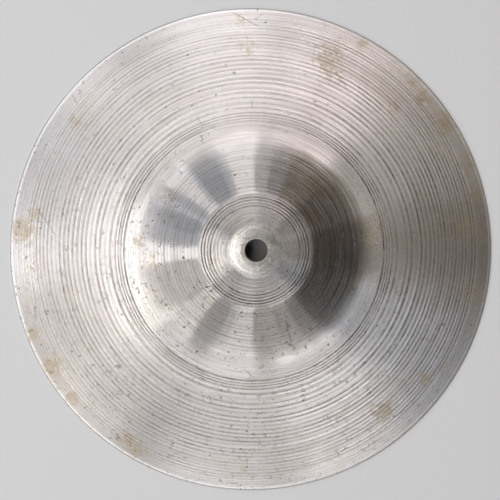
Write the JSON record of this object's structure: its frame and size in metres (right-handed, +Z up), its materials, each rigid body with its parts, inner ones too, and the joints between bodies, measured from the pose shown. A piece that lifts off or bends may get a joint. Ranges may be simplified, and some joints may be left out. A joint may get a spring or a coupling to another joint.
{
  "type": "hi-hat cymbal",
  "caption": "Thin turned bronze cymbal with a raised bell, a low ringed bow and a centre hole for a hi-hat rod; worn, faded finish.",
  "frame": {"origin": "on the cymbal's axis, at the plane the rim rests on", "axes": "+Z up the axis through the bell; +X and +Y lie in the rim plane and the part is turned, so their direction round the axis is free"},
  "size_m": [0.2794, 0.2794, 0.0264],
  "materials": {
    "cymbal": "lathe-turned, faded and lightly tarnished bell bronze"
  },
  "bodies": {
    "root": {"cymbal": "cymbal"}
  },
  "joints": []
}
